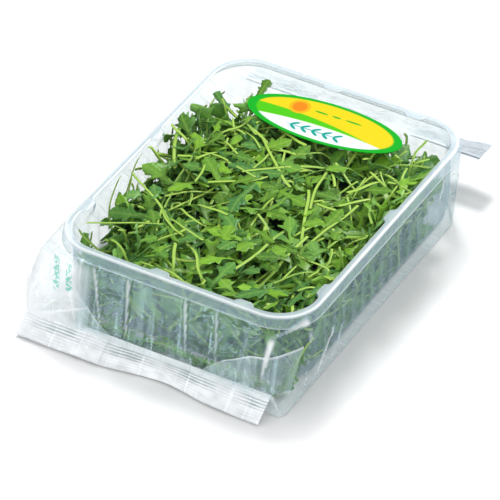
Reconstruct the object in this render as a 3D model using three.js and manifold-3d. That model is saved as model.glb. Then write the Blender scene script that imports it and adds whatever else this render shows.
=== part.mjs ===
// A sealed tray of salad leaves: clear film drawn round a rimmed tray, crimped shut at both ends,
// with an oval label stuck on top. Millimetres, +Z up, the pack's long side along Y, its front at -Y.
// The origin is the middle of the tray's foot, on the surface that the pack lies on.
import * as THREE from "three";
import { ConvexGeometry } from "three/addons/geometries/ConvexGeometry.js";
import { mergeVertices } from "three/addons/utils/BufferGeometryUtils.js";
import Module from "manifold-3d";

const wasm = await Module();
wasm.setup();

// Driving dimensions: a 227 by 178 mm produce tray
const TRAY_LENGTH = 227;
const TRAY_WIDTH = 178;
const TRAY_HEIGHT = 57;

// The tray's rim under the film: its round corners in plan, its flat top, its softened edge, and
// the lip that turns down and out from it. The film sags a little inside the rim.
const RIM_CORNER = 28;
const RIM_WIDTH = 9;
const RIM_EDGE = 1.2;
const LIP_OUT = 1.5;
const LIP_DROP = 5.5;
const TOP_SAG = 1.2;
const ARC_STEPS = 8;

// The film below the rim: its foot on the surface, and the slack that swells the left side
const FOOT_CORNER = 5;
const FOOT_FRONT = TRAY_LENGTH / 2 + 20;
const FOOT_BACK = TRAY_LENGTH / 2 - 24;
const FOOT_SLACK = 4;
const SWELLS = [
  { out: 5.5, y: -TRAY_LENGTH / 2, z: 44 },
  { out: 10, y: -TRAY_LENGTH / 2 - 9, z: 21 },
  { out: 5, y: 0, z: 21 },
];

// The crimped end seals: each bites into the film's end, is smooth there, and is then ridged
const SEAL_LENGTH = TRAY_WIDTH - 6;
const SEAL_THICKNESS = 1;
const SEAL_BITE = 3;
const ROOT_MARGIN = 1.7;
const RIDGES = 7;
const RIDGE_DEPTH = 0.7;
const SMOOTH_SHARE = 0.2;
const RIDGED_SHARE = 0.3;
const STEPS_ACROSS_RIDGE = 2;
const STEPS_ALONG_SEAL = 40;
const SEAL_WAVES = 5;

// The tuck at each front corner: how far it reaches out and in from the seal's end, how far behind
// the seal it starts, half its mouth's height, and its length along the side
const TUCK = { out: 12, deep: 8, behind: 5, half: 7, long: 40 };

// The label, lying on the sagged film near the back
const LABEL_LENGTH = 108;
const LABEL_WIDTH = 41;
const LABEL_THICKNESS = 0.4;
const LABEL_SEGMENTS = 48;
const LABEL_TURN = THREE.MathUtils.degToRad(2);
const LABEL_CENTRE = [2.6, 72.8];
const GAP = 0.3;

// Edges shorter than this, left by the joins, are taken out
const SLIVER = 0.02;

const FILM = new THREE.MeshStandardMaterial({
  color: 0xb9cdb4,
  roughness: 0.15,
  transparent: true,
  opacity: 0.6,
});
const PAPER = new THREE.MeshStandardMaterial({ color: 0xe7e04a, roughness: 0.35 });

// Booleans

function solidOf(geometry) {
  geometry.deleteAttribute("normal");
  geometry.deleteAttribute("uv");
  const merged = mergeVertices(geometry, 1e-4);
  return new wasm.Manifold(
    new wasm.Mesh({
      numProp: 3,
      vertProperties: merged.attributes.position.array,
      triVerts: new Uint32Array(merged.index.array),
    }),
  );
}

function geometryOf(solid) {
  const mesh = solid.getMesh();
  const geometry = new THREE.BufferGeometry();
  geometry.setAttribute("position", new THREE.BufferAttribute(mesh.vertProperties, 3));
  geometry.setIndex(new THREE.BufferAttribute(mesh.triVerts, 1));
  geometry.computeVertexNormals();
  return geometry;
}

// Outlines

// The points of a rectangle with round corners, inset from its edges and lifted to a height
function roundRectangle({ left, right, front, back, corner, inset = 0, z = 0 }) {
  const radius = corner - inset;
  const middles = [
    [right - corner, back - corner, 0],
    [left + corner, back - corner, 1],
    [left + corner, front + corner, 2],
    [right - corner, front + corner, 3],
  ];
  const points = [];
  for (const [x, y, quarter] of middles) {
    for (let i = 0; i <= ARC_STEPS; i++) {
      const angle = ((quarter + i / ARC_STEPS) * Math.PI) / 2;
      points.push(new THREE.Vector3(x + radius * Math.cos(angle), y + radius * Math.sin(angle), z));
    }
  }
  return points;
}

const RIM = {
  left: -TRAY_WIDTH / 2,
  right: TRAY_WIDTH / 2,
  front: -TRAY_LENGTH / 2,
  back: TRAY_LENGTH / 2,
  corner: RIM_CORNER,
};
const FOOT = {
  left: RIM.left - FOOT_SLACK,
  right: RIM.right,
  front: -FOOT_FRONT,
  back: FOOT_BACK,
  corner: FOOT_CORNER,
};

// The end seals: the line where each leaves the film, how far the film is gathered in from the
// seal's ends there, and the line of its free edge

const FRONT_SEAL = {
  left: -SEAL_LENGTH / 2 - 7,
  root: { y: -FOOT_FRONT + 1.5, z: 12 },
  gathered: 0,
  edge: { y: -FOOT_FRONT - 12.5, z: 1.4 },
  bend: { at: 8, wide: 28, deep: 6 },
  lift: 1.2,
};
const BACK_SEAL = {
  left: -SEAL_LENGTH / 2 + 2,
  root: { y: TRAY_LENGTH / 2 + 11, z: 27 },
  gathered: 26,
  edge: { y: TRAY_LENGTH / 2 + 27, z: 23 },
  bend: { at: -20, wide: 40, deep: -3 },
  lift: 3,
};

function rootOf(seal) {
  const left = seal.left + seal.gathered;
  const right = seal.left + SEAL_LENGTH - seal.gathered;
  return { ...seal.root, left, right };
}

// The film drawn taut from the rim down to the surface and out to both seals
function tautFilm() {
  const topInset = { ...RIM, inset: RIM_EDGE, z: TRAY_HEIGHT };
  const points = [
    ...roundRectangle(topInset),
    ...roundRectangle({ ...RIM, z: TRAY_HEIGHT - RIM_EDGE }),
    ...roundRectangle({ ...RIM, inset: -LIP_OUT, z: TRAY_HEIGHT - LIP_DROP }),
    ...roundRectangle(FOOT),
    ...SWELLS.map(({ out, y, z }) => new THREE.Vector3(RIM.left - out, y, z)),
  ];
  for (const seal of [FRONT_SEAL, BACK_SEAL]) {
    const { y, z, left, right } = rootOf(seal);
    for (const x of [left - ROOT_MARGIN, right + ROOT_MARGIN]) {
      for (const half of [-ROOT_MARGIN, ROOT_MARGIN]) {
        points.push(new THREE.Vector3(x, y, z + half));
      }
    }
  }
  return solidOf(new ConvexGeometry(points));
}

// The shallow pan that the top film forms inside the rim
function topPan() {
  const outline = roundRectangle({ ...RIM, inset: RIM_WIDTH });
  const shape = new THREE.Shape(outline.map((p) => new THREE.Vector2(p.x, p.y)));
  const pan = new THREE.ExtrudeGeometry(shape, { depth: TOP_SAG * 2, bevelEnabled: false });
  pan.translate(0, 0, TRAY_HEIGHT - TOP_SAG);
  return solidOf(pan);
}

// The tuck beside a seal's end, where the side of the film is folded in before it is crimped
function sideTuck(seal, side) {
  const root = rootOf(seal);
  const end = side > 0 ? root.right : root.left;
  const away = Math.sign(root.y);
  const y = root.y - away * TUCK.behind;
  const { z } = root;
  const mouth = end + side * TUCK.out;
  return solidOf(
    new ConvexGeometry([
      new THREE.Vector3(end - side * TUCK.deep, y, z),
      new THREE.Vector3(mouth, y, z + TUCK.half),
      new THREE.Vector3(mouth, y, z - TUCK.half),
      new THREE.Vector3(mouth, y - away * TUCK.long, z),
    ]),
  );
}

const smoothBend = (x, { at, wide, deep }) => deep * Math.exp(-(((x - at) / wide) ** 2));

// A closed sheet of even thickness over a grid of points, thickened along a given direction
function thickSheet(pointAt, direction, thickness, columns, rows) {
  const shift = direction.clone().multiplyScalar(thickness / 2);
  const positions = [];
  for (const face of [1, -1]) {
    for (let c = 0; c <= columns; c++) {
      for (let r = 0; r <= rows; r++) {
        const p = pointAt(c / columns, r / rows).addScaledVector(shift, face);
        positions.push(p.x, p.y, p.z);
      }
    }
  }
  const at = (face, c, r) => face * (columns + 1) * (rows + 1) + c * (rows + 1) + r;
  const triangles = [];
  const quad = (a, b, c, d) => triangles.push(a, b, c, a, c, d);
  for (let c = 0; c < columns; c++) {
    for (let r = 0; r < rows; r++) {
      quad(at(0, c, r), at(0, c + 1, r), at(0, c + 1, r + 1), at(0, c, r + 1));
      quad(at(1, c, r), at(1, c, r + 1), at(1, c + 1, r + 1), at(1, c + 1, r));
    }
    quad(at(0, c, 0), at(1, c, 0), at(1, c + 1, 0), at(0, c + 1, 0));
    quad(at(0, c + 1, rows), at(1, c + 1, rows), at(1, c, rows), at(0, c, rows));
  }
  for (let r = 0; r < rows; r++) {
    quad(at(0, 0, r + 1), at(1, 0, r + 1), at(1, 0, r), at(0, 0, r));
    quad(at(0, columns, r), at(1, columns, r), at(1, columns, r + 1), at(0, columns, r + 1));
  }
  const geometry = new THREE.BufferGeometry();
  geometry.setAttribute("position", new THREE.Float32BufferAttribute(positions, 3));
  geometry.setIndex(triangles);
  return geometry;
}

// One seal: a strip ridged along its length that waves a little as it runs across the pack
function crimpedSeal(seal) {
  const along = new THREE.Vector3(0, seal.edge.y - seal.root.y, seal.edge.z - seal.root.z);
  const faces = Math.sign(along.y) < 0 ? -1 : 1;
  const normal = new THREE.Vector3(0, -along.z * faces, along.y * faces).normalize();
  const pointAt = (u, v) => {
    const x = seal.left + (faces > 0 ? 1 - u : u) * SEAL_LENGTH;
    const point = new THREE.Vector3(x, seal.root.y, seal.root.z).addScaledVector(along, v);
    point.y -= faces * SEAL_BITE * (1 - v);
    point.y += smoothBend(x, seal.bend) * v;
    point.z += seal.lift * v * Math.sin((x / SEAL_LENGTH) * Math.PI * SEAL_WAVES) ** 2;
    const ridge = Math.abs(((v * RIDGES) % 1) - 0.5) * 2 - 0.5;
    const grown = THREE.MathUtils.smoothstep(v, SMOOTH_SHARE, RIDGED_SHARE);
    return point.addScaledVector(normal, ridge * grown * RIDGE_DEPTH);
  };
  const rows = RIDGES * STEPS_ACROSS_RIDGE;
  return solidOf(thickSheet(pointAt, normal, SEAL_THICKNESS, STEPS_ALONG_SEAL, rows));
}

// Pieces

function bag() {
  let solid = tautFilm().subtract(topPan());
  for (const side of [-1, 1]) {
    solid = solid.subtract(sideTuck(FRONT_SEAL, side));
  }
  for (const seal of [FRONT_SEAL, BACK_SEAL]) {
    solid = solid.add(crimpedSeal(seal));
  }
  const mesh = new THREE.Mesh(geometryOf(solid.simplify(SLIVER)), FILM);
  mesh.name = "bag";
  return mesh;
}

function label() {
  const outline = new THREE.Shape();
  outline.absellipse(0, 0, LABEL_LENGTH / 2, LABEL_WIDTH / 2, 0, Math.PI * 2);
  const paper = new THREE.ExtrudeGeometry(outline, {
    depth: LABEL_THICKNESS,
    bevelEnabled: false,
    curveSegments: LABEL_SEGMENTS,
  });
  const mesh = new THREE.Mesh(paper, PAPER);
  mesh.name = "label";
  mesh.position.set(...LABEL_CENTRE, TRAY_HEIGHT - TOP_SAG + GAP);
  mesh.rotation.z = LABEL_TURN;
  return mesh;
}

const pack = new THREE.Group();
pack.add(bag(), label());

export default pack;
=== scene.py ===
"""A sealed tray of rocket leaves in clear film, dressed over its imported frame.

Metres, +Z up, the pack's long side along Y with its front at -Y. Dimensions are written in
millimetres and multiplied by MM. The film is drawn taut from the tray's rim to the surface and
out to a crimped seal at each end; the leaves fill the tray over a dark core.
"""

import math

import bmesh
import bpy
import numpy as np
from mathutils import Matrix, Vector
from mathutils.bvhtree import BVHTree


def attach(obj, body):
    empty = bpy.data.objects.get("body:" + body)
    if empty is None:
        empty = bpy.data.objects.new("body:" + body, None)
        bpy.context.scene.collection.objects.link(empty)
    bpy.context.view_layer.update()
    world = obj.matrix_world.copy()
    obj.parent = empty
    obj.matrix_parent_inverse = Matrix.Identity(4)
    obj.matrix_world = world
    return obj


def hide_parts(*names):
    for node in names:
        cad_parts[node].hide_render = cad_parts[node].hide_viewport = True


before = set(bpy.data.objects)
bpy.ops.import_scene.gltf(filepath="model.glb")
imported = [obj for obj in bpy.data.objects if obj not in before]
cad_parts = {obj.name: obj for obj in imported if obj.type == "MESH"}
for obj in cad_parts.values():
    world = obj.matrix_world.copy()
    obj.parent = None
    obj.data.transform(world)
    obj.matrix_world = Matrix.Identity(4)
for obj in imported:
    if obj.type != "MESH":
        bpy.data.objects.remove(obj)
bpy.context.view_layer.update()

MM = 0.001

# Tray: outer size over the rim, and the profile from the rim down to the foot
TRAY_WIDTH = 178 * MM
TRAY_LENGTH = 227 * MM
TRAY_HEIGHT = 57 * MM
RIM_CORNER = 28 * MM
RIM_WIDTH = 5 * MM
WALL_DRAFT = 1.5 * MM
CORNER_SHRINK = 0.62
SMALLEST_CORNER = 6 * MM
TRAY_STEPS = 480
FLOOR_BAND = 24 * MM
SKIRT_DROP = 8 * MM
FOOT_ROUND = 4 * MM
PLASTIC = 0.5 * MM
FLOOR_MILK = 0.1
WALL_MILK = 0.065
RIB_CREST_HIGHLIGHT = 0.05
RIB_PITCH = 13.5 * MM
RIB_DEPTH = 1.1 * MM
LUG_DEPTH = 3.2 * MM
LUG_HALF = 7 * MM
LUG_DROP = 9 * MM
LUG_TOP = 5 * MM
LUG_INSET = 3.5 * MM
# Lugs on the two ends, then on the two long sides: (place along the rim in millimetres, side)
END_LUGS = ((-11, -1), (48, -1), (-11, 1), (48, 1))
SIDE_LUGS = ((11, 1), (-73, 1), (11, -1), (-73, -1))
TRAY_TOP = TRAY_HEIGHT - 0.35 * MM
TRAY_FLOOR = 0.6 * MM

# Film
RIM_EDGE = 1.2 * MM
LIP_OUT = 1.5 * MM
LIP_DROP = 5.5 * MM
TOP_SAG = 1.2 * MM
TOP_CORNER = 19 * MM
FILM_LIFT = 0.1 * MM
FILM_VOXEL = 1.25 * MM
WALL_HAZE = 0.07
# Whiteness along the creases: partly creased film, partly painted highlight
CREASE_WHITE_AND_HIGHLIGHT = 0.75
GUSSET_HAZE = 0.24
SEAL_HAZE = 0.85
VALLEY_CLEAR = 0.65

# Photo frame: the camera's bearing, height, distance and the point at the picture's middle
CAMERA_AZIMUTH = math.radians(29.84)
CAMERA_ELEVATION = math.radians(38.71)
CAMERA_DISTANCE = 3.0
CAMERA_LENS = 342.8
CAMERA_TARGET = Vector((-9.5, -0.8, 0)) * MM


# Node trees


def add_node(tree, kind, inputs=None, **settings):
    """A node with its settings made, and each input set to a value or linked from a socket."""
    node = tree.nodes.new(kind)
    for name, value in settings.items():
        setattr(node, name, value)
    for key, value in (inputs or {}).items():
        socket = node.inputs[key]
        if isinstance(value, bpy.types.NodeSocket):
            tree.links.new(value, socket)
        else:
            socket.default_value = value
    return node


def math_node(tree, operation, a, b=0.0, clamp=False):
    inputs = {0: a, 1: b}
    return add_node(tree, "ShaderNodeMath", inputs, operation=operation, use_clamp=clamp).outputs[0]


def multiply(tree, a, b):
    return math_node(tree, "MULTIPLY", a, b)


def new_material(name):
    material = bpy.data.materials.new(name)
    material.use_nodes = True
    tree = material.node_tree
    tree.nodes.clear()
    output = tree.nodes.new("ShaderNodeOutputMaterial")
    return material, tree, output


def principled(tree, output, inputs):
    shader = add_node(tree, "ShaderNodeBsdfPrincipled", inputs)
    tree.links.new(shader.outputs[0], output.inputs["Surface"])
    return shader


def object_coordinates(tree):
    return tree.nodes.new("ShaderNodeTexCoord").outputs["Object"]


def noise_value(tree, vector, scale, detail=2.0):
    inputs = {"Vector": vector, "Scale": scale, "Detail": detail}
    return add_node(tree, "ShaderNodeTexNoise", inputs).outputs[0]


def bump_normal(tree, height, distance, strength=1.0):
    inputs = {"Height": height, "Distance": distance, "Strength": strength}
    return add_node(tree, "ShaderNodeBump", inputs).outputs["Normal"]


def mix_colours(tree, share, a, b):
    inputs = {0: share, 6: a, 7: b}
    return add_node(tree, "ShaderNodeMix", inputs, data_type="RGBA").outputs[2]


def edge_gloss(tree, normal=None):
    """How strongly a thin clear sheet mirrors its surroundings: little face on, much when grazing."""
    inputs = {"Blend": 0.5, "Normal": normal} if normal else {"Blend": 0.5}
    facing = add_node(tree, "ShaderNodeLayerWeight", inputs).outputs["Facing"]
    steep = math_node(tree, "POWER", facing, 5.0)
    return map_range(tree, steep, 0.0, 1.0, 0.04, 0.95)


def attribute(tree, name):
    return add_node(tree, "ShaderNodeAttribute", attribute_name=name).outputs["Fac"]


def map_range(tree, value, low, high, to_low=0.0, to_high=1.0, smooth=False):
    inputs = {"Value": value, 1: low, 2: high, 3: to_low, 4: to_high}
    kind = "SMOOTHSTEP" if smooth else "LINEAR"
    return add_node(tree, "ShaderNodeMapRange", inputs, interpolation_type=kind).outputs[0]


# Meshes


def mesh_object(name, vertices, faces, material=None):
    mesh = bpy.data.meshes.new(name)
    mesh.from_pydata([tuple(v) for v in vertices], [], faces)
    mesh.update()
    mesh.shade_smooth()
    if material:
        mesh.materials.append(material)
    piece = bpy.data.objects.new(name, mesh)
    bpy.context.scene.collection.objects.link(piece)
    return piece


def vertex_array(mesh):
    places = np.empty(len(mesh.vertices) * 3)
    mesh.vertices.foreach_get("co", places)
    return places.reshape(-1, 3)


def set_vertices(mesh, places):
    mesh.vertices.foreach_set("co", places.reshape(-1))
    mesh.update()


def set_attribute(mesh, name, values):
    mesh.attributes.new(name, "FLOAT", "POINT").data.foreach_set("value", values)


def evaluated_mesh(piece):
    """The piece's mesh with its modifiers applied."""
    graph = bpy.context.evaluated_depsgraph_get()
    return bpy.data.meshes.new_from_object(piece.evaluated_get(graph), depsgraph=graph)


def apply_modifiers(piece):
    mesh = evaluated_mesh(piece)
    piece.modifiers.clear()
    piece.data = mesh
    return piece


def grid_faces(columns, rows):
    """Quads of a grid of (columns + 1) by (rows + 1) vertices, rows running fastest."""
    faces = []
    for c in range(columns):
        for r in range(rows):
            a = c * (rows + 1) + r
            b = a + rows + 1
            faces.append((a, b, b + 1, a + 1))
    return faces


def ring_faces(rings, count):
    """Quads that join closed rings of count vertices, each ring to the next."""
    faces = []
    for r in range(rings):
        for i in range(count):
            j = (i + 1) % count
            faces.append((r * count + i, r * count + j, (r + 1) * count + j, (r + 1) * count + i))
    return faces


def smoothstep(value, low, high):
    t = np.clip((value - low) / (high - low), 0, 1)
    return t * t * (3 - 2 * t)


def wobble(places, wavelength, seed, waves=7):
    """A smooth random field near -1 to 1, made of seeded waves of about one length."""
    rng = np.random.default_rng(seed)
    total = np.zeros(len(places))
    for _ in range(waves):
        direction = rng.normal(size=3)
        direction /= np.linalg.norm(direction)
        length = wavelength * rng.uniform(0.7, 1.4)
        phase = rng.uniform(0, 2 * math.pi)
        total += np.sin(places @ direction * (2 * math.pi / length) + phase)
    return total / math.sqrt(waves)


def wobble_vector(places, wavelength, seed):
    return np.stack([wobble(places, wavelength, seed + axis) for axis in range(3)], axis=1)


# Outlines


def round_rectangle(half_width, half_length, corner, count):
    """Points spaced evenly round a rectangle with round corners, and their outward normals."""
    straight = [2 * (half_width - corner), 2 * (half_length - corner)]
    arc = math.pi / 2 * corner
    perimeter = 2 * sum(straight) + 4 * arc
    corners = [
        (half_width - corner, half_length - corner, 0),
        (-half_width + corner, half_length - corner, 1),
        (-half_width + corner, -half_length + corner, 2),
        (half_width - corner, -half_length + corner, 3),
    ]
    points = []
    normals = []
    for i in range(count):
        distance = perimeter * i / count
        for x, y, quarter in corners:
            side = straight[quarter % 2]
            start = quarter * math.pi / 2
            if distance <= arc:
                angle = start + distance / corner
                along = 0.0
                break
            if distance <= arc + side:
                angle = start + math.pi / 2
                along = distance - arc
                break
            distance -= arc + side
        normal = np.array((math.cos(angle), math.sin(angle)))
        onward = np.array((-normal[1], normal[0]))
        points.append(np.array((x, y)) + normal * corner + onward * along)
        normals.append(normal)
    return np.array(points), np.array(normals)


def inside_distance(x, y, half_width, half_length, corner):
    """Signed distance to a rectangle with round corners, below 0 inside, and its outward gradient."""
    qx = np.abs(x) - half_width + corner
    qy = np.abs(y) - half_length + corner
    outer = np.hypot(np.maximum(qx, 0), np.maximum(qy, 0))
    distance = outer + np.minimum(np.maximum(qx, qy), 0) - corner
    in_corner = (qx > 0) & (qy > 0)
    nx = np.where(in_corner, qx / np.maximum(outer, 1e-9), (qx >= qy).astype(float))
    ny = np.where(in_corner, qy / np.maximum(outer, 1e-9), (qx < qy).astype(float))
    return distance, nx * np.sign(x), ny * np.sign(y)


def wall_inset(z):
    """How far the tray's inner wall stands in from the rim's outer edge at a height."""
    return RIM_WIDTH + WALL_DRAFT * (1 - np.clip(z / TRAY_HEIGHT, 0, 1))


# Tray


def tray_profile():
    """(inset from the rim's outer edge, height, ribs' share, milkiness) from foot to skirt, the whitest
    rows being painted highlights.
    """
    rows = []
    foot = RIM_WIDTH + WALL_DRAFT
    for inset in np.linspace(foot + FLOOR_BAND, foot + FOOT_ROUND, 4):
        rows.append((inset, TRAY_FLOOR, 0.0, FLOOR_MILK))
    for angle in np.linspace(0, math.pi / 2, 5)[1:]:
        inset = foot + FOOT_ROUND * (1 - math.sin(angle))
        height = TRAY_FLOOR + FOOT_ROUND * (1 - math.cos(angle))
        rows.append((inset, height, 0.4 * math.sin(angle), 0.12))
    low = TRAY_FLOOR + FOOT_ROUND
    high = TRAY_TOP - 3 * MM
    for share in np.linspace(0, 1, 14)[1:]:
        z = low + (high - low) * share
        rib = math.sin(math.pi * min(1, 0.25 + 0.85 * share))
        rows.append((float(wall_inset(z)), z, max(rib, 0), WALL_MILK))
    # Rim rows: (inset and drop in millimetres, milkiness); the whitest, along the rim's crest and edges
    # and the skirt's lower edge, are painted highlights on milky plastic
    rim = (
        (RIM_WIDTH / MM + 0.1, 1.2, 0.12),
        (RIM_WIDTH / MM - 0.4, 0.3, 0.5),
        (RIM_WIDTH / MM - 1.2, 0.1, 0.3),
        (2.1, 0.2, 0.4),
        (1.6, 0.1, 0.6),
        (1.1, 0.0, 0.7),
        (0.5, 0.5, 0.45),
        (0.2, 1.6, 0.2),
        (0.1, 2.6, 0.2),
        (-0.5, SKIRT_DROP / MM - 1.2, 0.2),
        (-0.6, SKIRT_DROP / MM - 0.5, 0.35),
        (-0.7, SKIRT_DROP / MM, 0.5),
    )
    rows += [(inset * MM, TRAY_TOP - down * MM, 0.0, milkiness) for inset, down, milkiness in rim]
    return rows


def lug_share(points):
    """1 at each stacking lug's middle along the rim, falling to 0 at its ends."""
    share = np.zeros(len(points))
    for at, side in END_LUGS:
        near = np.abs(points[:, 0] - at * MM) / LUG_HALF
        on_side = points[:, 1] * side > 95 * MM
        share = np.maximum(share, (1 - smoothstep(near, 0.6, 1)) * on_side)
    for at, side in SIDE_LUGS:
        near = np.abs(points[:, 1] - at * MM) / LUG_HALF
        on_side = points[:, 0] * side > 70 * MM
        share = np.maximum(share, (1 - smoothstep(near, 0.6, 1)) * on_side)
    return share


def tray_ring(inset, z, rib, phase):
    """The wall's points at one height, and how far its ribs and lugs move each of them out."""
    corner = max(RIM_CORNER - inset * CORNER_SHRINK, SMALLEST_CORNER)
    half_width = TRAY_WIDTH / 2 - inset
    half_length = TRAY_LENGTH / 2 - inset
    points, normals = round_rectangle(half_width, half_length, corner, TRAY_STEPS)
    bulge = np.clip(np.cos(phase), 0, 1) ** 0.6 * rib * RIB_DEPTH
    if inset > LUG_INSET:
        risen = smoothstep(z, TRAY_TOP - LUG_DROP, TRAY_TOP - LUG_TOP)
        bulge -= LUG_DEPTH * lug_share(points) * risen
    return points + normals * bulge[:, None], bulge


def tray(material):
    """The thermoformed tray: a ribbed wall from a round foot up to a flat rim with a skirt."""
    rows = tray_profile()
    ribs = round(2 * (TRAY_WIDTH + TRAY_LENGTH) / RIB_PITCH)
    phase = np.arange(TRAY_STEPS) / TRAY_STEPS * ribs * 2 * math.pi
    vertices = []
    milk = []
    for inset, z, rib, milkiness in rows:
        points, bulge = tray_ring(inset, z, rib, phase)
        vertices += [(x, y, z) for x, y in points]
        # Each rib's crest gets extra milk: a painted highlight
        milk += list(milkiness + RIB_CREST_HIGHLIGHT * np.clip(bulge, 0, None) / RIB_DEPTH)
    faces = ring_faces(len(rows) - 1, TRAY_STEPS)
    centre = len(vertices)
    vertices.append((0, 0, TRAY_FLOOR))
    milk.append(FLOOR_MILK)
    faces += [(centre, (i + 1) % TRAY_STEPS, i) for i in range(TRAY_STEPS)]
    piece = mesh_object("tray", vertices, faces, material)
    set_attribute(piece.data, "milk", milk)
    wall = piece.modifiers.new("wall", "SOLIDIFY")
    wall.thickness = PLASTIC
    wall.offset = 0
    return apply_modifiers(piece)


# Film

FOOT_FRONT = TRAY_LENGTH / 2 + 20 * MM
FOOT_BACK = TRAY_LENGTH / 2 - 24 * MM
FOOT_SLACK = 4 * MM
FOOT_CORNER = 5 * MM
# How far the film that passes under the tray's own foot stands out from the rim's outer edge
FOOT_RING = -5 * MM
# Swell of the film's left side: (distance out from the rim, place along Y, height)
SWELLS = (
    (5.5 * MM, -TRAY_LENGTH / 2, 44 * MM),
    (10 * MM, -TRAY_LENGTH / 2 - 9 * MM, 21 * MM),
    (5 * MM, 0.0, 21 * MM),
)
SEAL_LENGTH = TRAY_WIDTH - 6 * MM
ROOT_HALF = 1.2 * MM
# A seal: its left end, (Y, Z) of the root where it leaves the film and of its free edge, how far
# the film is gathered in at its ends, its bend (place, width, depth), how far it lifts in waves,
# and the lengths folded double at the left and right
FRONT_SEAL = {
    "left": -SEAL_LENGTH / 2 - 7 * MM,
    "root": (-FOOT_FRONT + 1.5 * MM, 12 * MM),
    "gathered": 0.0,
    "edge": (-FOOT_FRONT - 12.5 * MM, 0.9 * MM),
    "bend": (8 * MM, 28 * MM, 6 * MM),
    "lift": 0.5 * MM,
    "folded": (59 * MM, 55 * MM),
}
BACK_SEAL = {
    "left": -SEAL_LENGTH / 2 + 2 * MM,
    "root": (TRAY_LENGTH / 2 + 11 * MM, 27 * MM),
    "gathered": 26 * MM,
    "edge": (TRAY_LENGTH / 2 + 27 * MM, 23 * MM),
    "bend": (-20 * MM, 40 * MM, -3 * MM),
    "lift": 3 * MM,
    "folded": (50 * MM, 50 * MM),
}


def ring_points(outset, z):
    points, _ = round_rectangle(
        TRAY_WIDTH / 2 + outset, TRAY_LENGTH / 2 + outset, RIM_CORNER + outset, 96
    )
    return [(x, y, z) for x, y in points]


def foot_points():
    left = -TRAY_WIDTH / 2 - FOOT_SLACK
    right = TRAY_WIDTH / 2
    points = []
    for x, inward_x in ((left, 1), (right, -1)):
        for y, inward_y in ((-FOOT_FRONT, 1), (FOOT_BACK, -1)):
            points.append((x + inward_x * FOOT_CORNER, y, 0))
            points.append((x, y + inward_y * FOOT_CORNER, 0))
            cut = 0.3 * FOOT_CORNER
            points.append((x + inward_x * cut, y + inward_y * cut, 0))
    return points


def taut_hull():
    """The closed hull of the rim, the foot, the left side's swell and the seals' roots."""
    points = ring_points(-RIM_EDGE, TRAY_HEIGHT)
    points += ring_points(0, TRAY_HEIGHT - RIM_EDGE)
    points += ring_points(LIP_OUT, TRAY_HEIGHT - LIP_DROP)
    points += foot_points()
    points += ring_points(FOOT_RING, 0)
    points += [(-TRAY_WIDTH / 2 - out, y, z) for out, y, z in SWELLS]
    for seal in (FRONT_SEAL, BACK_SEAL):
        y, z = seal["root"]
        left = seal["left"] + seal["gathered"]
        right = seal["left"] + SEAL_LENGTH - seal["gathered"]
        for x in (left, right):
            points += [(x, y, z - ROOT_HALF), (x, y, z + ROOT_HALF)]
    shape = bmesh.new()
    for point in points:
        shape.verts.new(point)
    hull = bmesh.ops.convex_hull(shape, input=shape.verts)
    inner = [v for v in hull["geom_interior"] if isinstance(v, bmesh.types.BMVert)]
    bmesh.ops.delete(shape, geom=inner, context="VERTS")
    bmesh.ops.recalc_face_normals(shape, faces=shape.faces)
    mesh = bpy.data.meshes.new("film")
    shape.to_mesh(mesh)
    shape.free()
    piece = bpy.data.objects.new("film", mesh)
    bpy.context.scene.collection.objects.link(piece)
    return piece


def ridge(phase):
    """Sharp crests a period apart, from 0 in the troughs to 1 on the crests."""
    return 1 - np.abs(np.sin(math.pi * phase))


def fan(places, centre, axis_a, axis_b, spokes, reach, seed):
    """Creases that fan out from a point where the film is pinched, dying away with distance."""
    offset = places - np.array(centre)
    a = offset @ np.array(axis_a, float)
    b = offset @ np.array(axis_b, float)
    angle = np.arctan2(b, a) + 0.12 * wobble(places, 30 * MM, seed)
    distance = np.linalg.norm(offset, axis=1)
    strength = np.exp(-((distance / reach) ** 2)) * smoothstep(distance, 2 * MM, 14 * MM)
    return (ridge(angle * spokes / math.pi) ** 3) * strength


def pleats(across, along, pitch, sharpness, seed):
    """Long creases that run one way, wander a little and come and go across the film."""
    slow = np.stack([0.5 * across, 0.12 * along, 0 * along], axis=1)
    wander = across + 0.4 * pitch * wobble(slow, 3 * pitch, seed)
    strength = np.clip(0.45 + 0.6 * wobble(slow, 1.6 * pitch, seed + 3), 0, 1)
    return ridge(wander / pitch) ** sharpness * strength


FRONT_RIM_CORNER = (TRAY_WIDTH / 2, -TRAY_LENGTH / 2 + 16 * MM, TRAY_HEIGHT)
SEAL_RIGHT = (FRONT_SEAL["left"] + SEAL_LENGTH, *FRONT_SEAL["root"])
SEAL_LEFT = (FRONT_SEAL["left"], *FRONT_SEAL["root"])

# Fans of creases: (pinched point, the two directions they spread in, spokes, reach, seed, height)
FANS = (
    (FRONT_RIM_CORNER, (0, 1, 0), (0, 0, 1), 11, 55 * MM, 41, 1.0 * MM),
    (SEAL_RIGHT, (1, 0, 0), (0, 0, 1), 9, 38 * MM, 43, 1.2 * MM),
    (SEAL_RIGHT, (0, 1, 0), (0, 0, 1), 9, 38 * MM, 44, 1.2 * MM),
    (SEAL_LEFT, (1, 0, 0), (0, 0, 1), 8, 42 * MM, 47, 1.2 * MM),
)
SIDE_SLANT = 0.75


def wall_pleats(places):
    """Long pleats down the film's ends, and slanting ones along its sides."""
    x, y, z = places.T
    front = smoothstep(-y, TRAY_LENGTH / 2 - 4 * MM, TRAY_LENGTH / 2 + 4 * MM)
    back = smoothstep(y, TRAY_LENGTH / 2 - 16 * MM, TRAY_LENGTH / 2 - 4 * MM)
    side = np.clip(1 - front - back, 0, 1)
    down = 0.5 * pleats(x + 0.1 * z, z, 17 * MM, 4, 11)
    down += 0.22 * pleats(x + 0.3 * z, z, 7 * MM, 3, 17)
    slant = y + SIDE_SLANT * z
    sloping = 0.7 * pleats(slant, z, 26 * MM, 6, 23)
    sloping += 0.35 * pleats(slant, z, 9 * MM, 3, 29)
    return ((front + back) * down + side * sloping) * MM


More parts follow.
